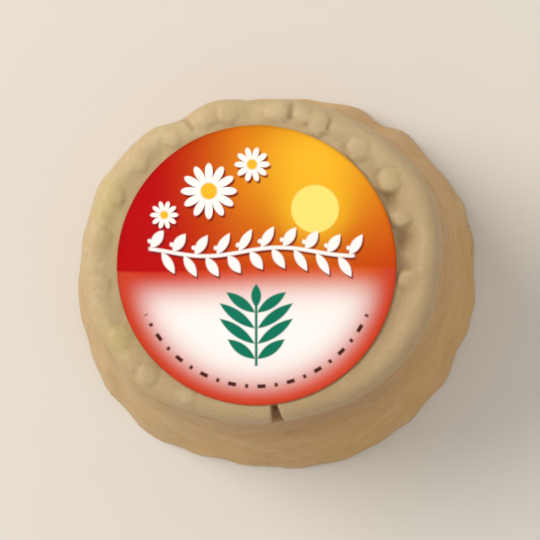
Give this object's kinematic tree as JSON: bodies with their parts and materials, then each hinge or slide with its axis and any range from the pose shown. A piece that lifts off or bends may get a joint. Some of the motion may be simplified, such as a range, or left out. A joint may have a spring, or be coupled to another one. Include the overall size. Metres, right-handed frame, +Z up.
{
  "type": "goat cheese",
  "caption": "Small fresh goat cheese, a squeezed truncated cone with a knobbly rim and a grainy side, with a round paper label lying on its flat top.",
  "frame": {"origin": "middle of the cheese's box, on the surface it stands on", "axes": "+X along the longer side of the squeezed base, to the right as seen from above; +Z up, out of the labelled top"},
  "size_m": [0.0526, 0.049, 0.0365],
  "materials": {
    "rind": "pale moist curd, grey-cream on the rim and pinkish tan on the side, fine-grained and unevenly matt",
    "printed_paper": "thin smooth coated paper printed in fields of red, orange, yellow and white"
  },
  "bodies": {
    "root": {"cheese": "rind", "label": "printed_paper"}
  },
  "joints": []
}
